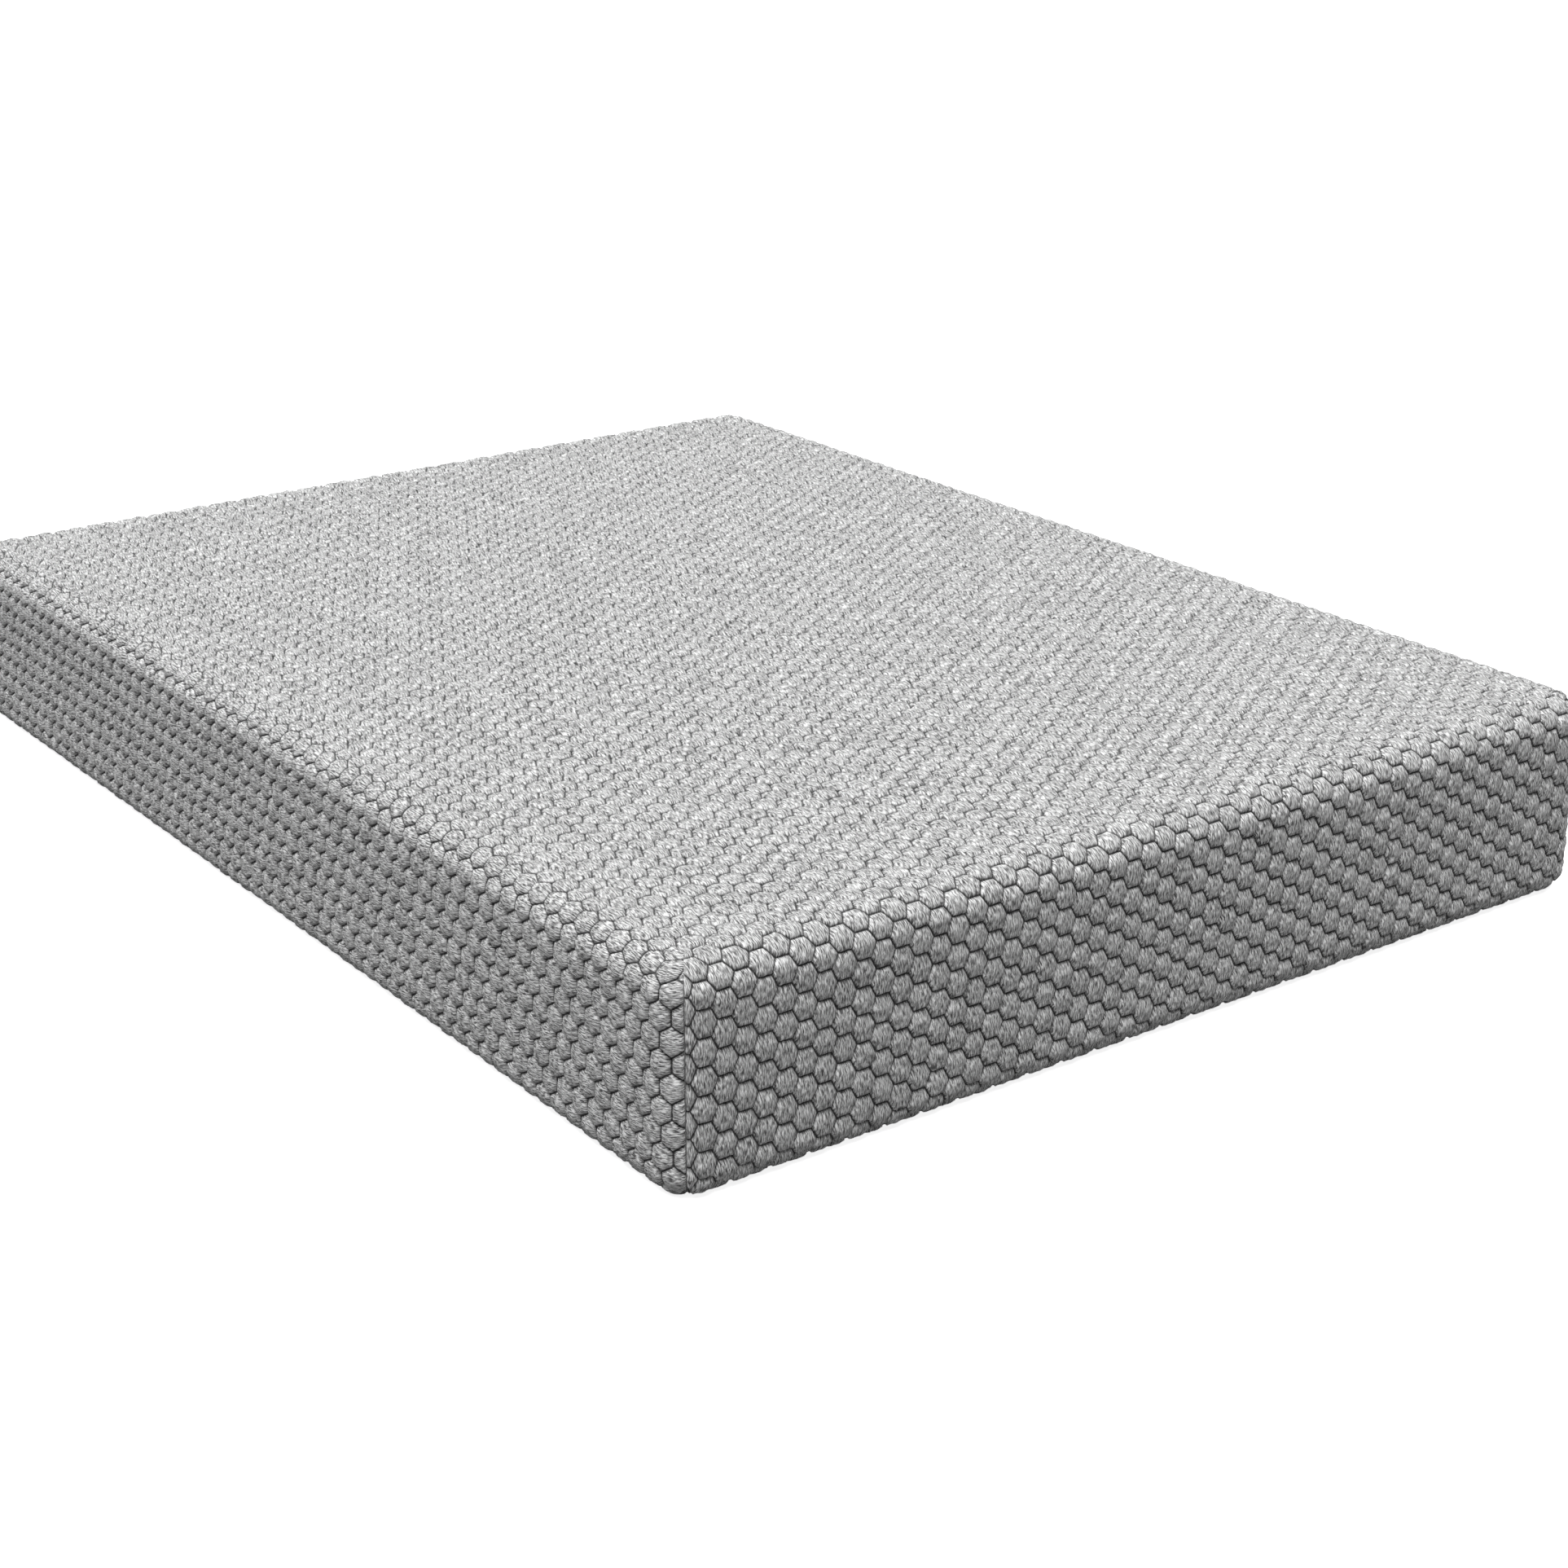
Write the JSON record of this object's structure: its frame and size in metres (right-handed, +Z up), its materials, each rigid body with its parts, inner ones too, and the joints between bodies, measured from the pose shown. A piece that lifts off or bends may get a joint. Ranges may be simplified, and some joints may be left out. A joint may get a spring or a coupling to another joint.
{
  "type": "memory foam mattress",
  "caption": "All-foam bed mattress with a puffed hexagon stretch-knit cover, a zip under its edge and layered foam inside.",
  "frame": {"origin": "on the floor, under the middle of the mattress", "axes": "+X across the width, +Y along the length towards the head end, +Z up"},
  "size_m": [1.524, 2.032, 0.29],
  "materials": {
    "cover_knit": "matte",
    "base_fabric": "matte",
    "seam_thread": "matte",
    "zip_tape": "matte",
    "zip_coil": "satin",
    "zip_metal": "satin",
    "barrier_sock": "matte",
    "memory_foam": "matte",
    "transition_foam": "matte",
    "support_foam": "matte",
    "glue_film": "satin"
  },
  "bodies": {
    "mattress": {"cover_knit": "cover_knit", "base_panel": "base_fabric", "corner_seam_foot_left": "seam_thread", "corner_seam_foot_right": "seam_thread", "corner_seam_head_left": "seam_thread", "corner_seam_head_right": "seam_thread", "zip_tape_cover": "zip_tape", "zip_tape_base": "zip_tape", "zip_coil_cover": "zip_coil", "zip_coil_base": "zip_coil", "zip_stitch_cover": "seam_thread", "zip_stitch_base": "seam_thread", "zip_start_stop": "zip_metal", "zip_end_stop": "zip_metal", "zip_end_patch": "zip_tape", "barrier_sock": "barrier_sock", "barrier_sock_seam": "seam_thread", "memory_foam_layer": "memory_foam", "transition_foam_layer": "transition_foam", "support_foam_core": "support_foam", "glue_film_upper": "glue_film", "glue_film_lower": "glue_film"},
    "zip_slider": {"zip_slider": "zip_metal"},
    "pull_tab": {"zip_pull_tab": "zip_metal"}
  },
  "joints": [
    {"name": "zip_slide", "type": "slide", "parent": "mattress", "child": "zip_slider", "axis": [0, 1, 0], "range_m": [0, 1.6]},
    {"name": "pull_tab_hinge", "type": "hinge", "parent": "zip_slider", "child": "pull_tab", "pos_m": [0.678, -0.7935, 0.002], "axis": [-1, 0, 0], "range_deg": [0, 180]}
  ]
}
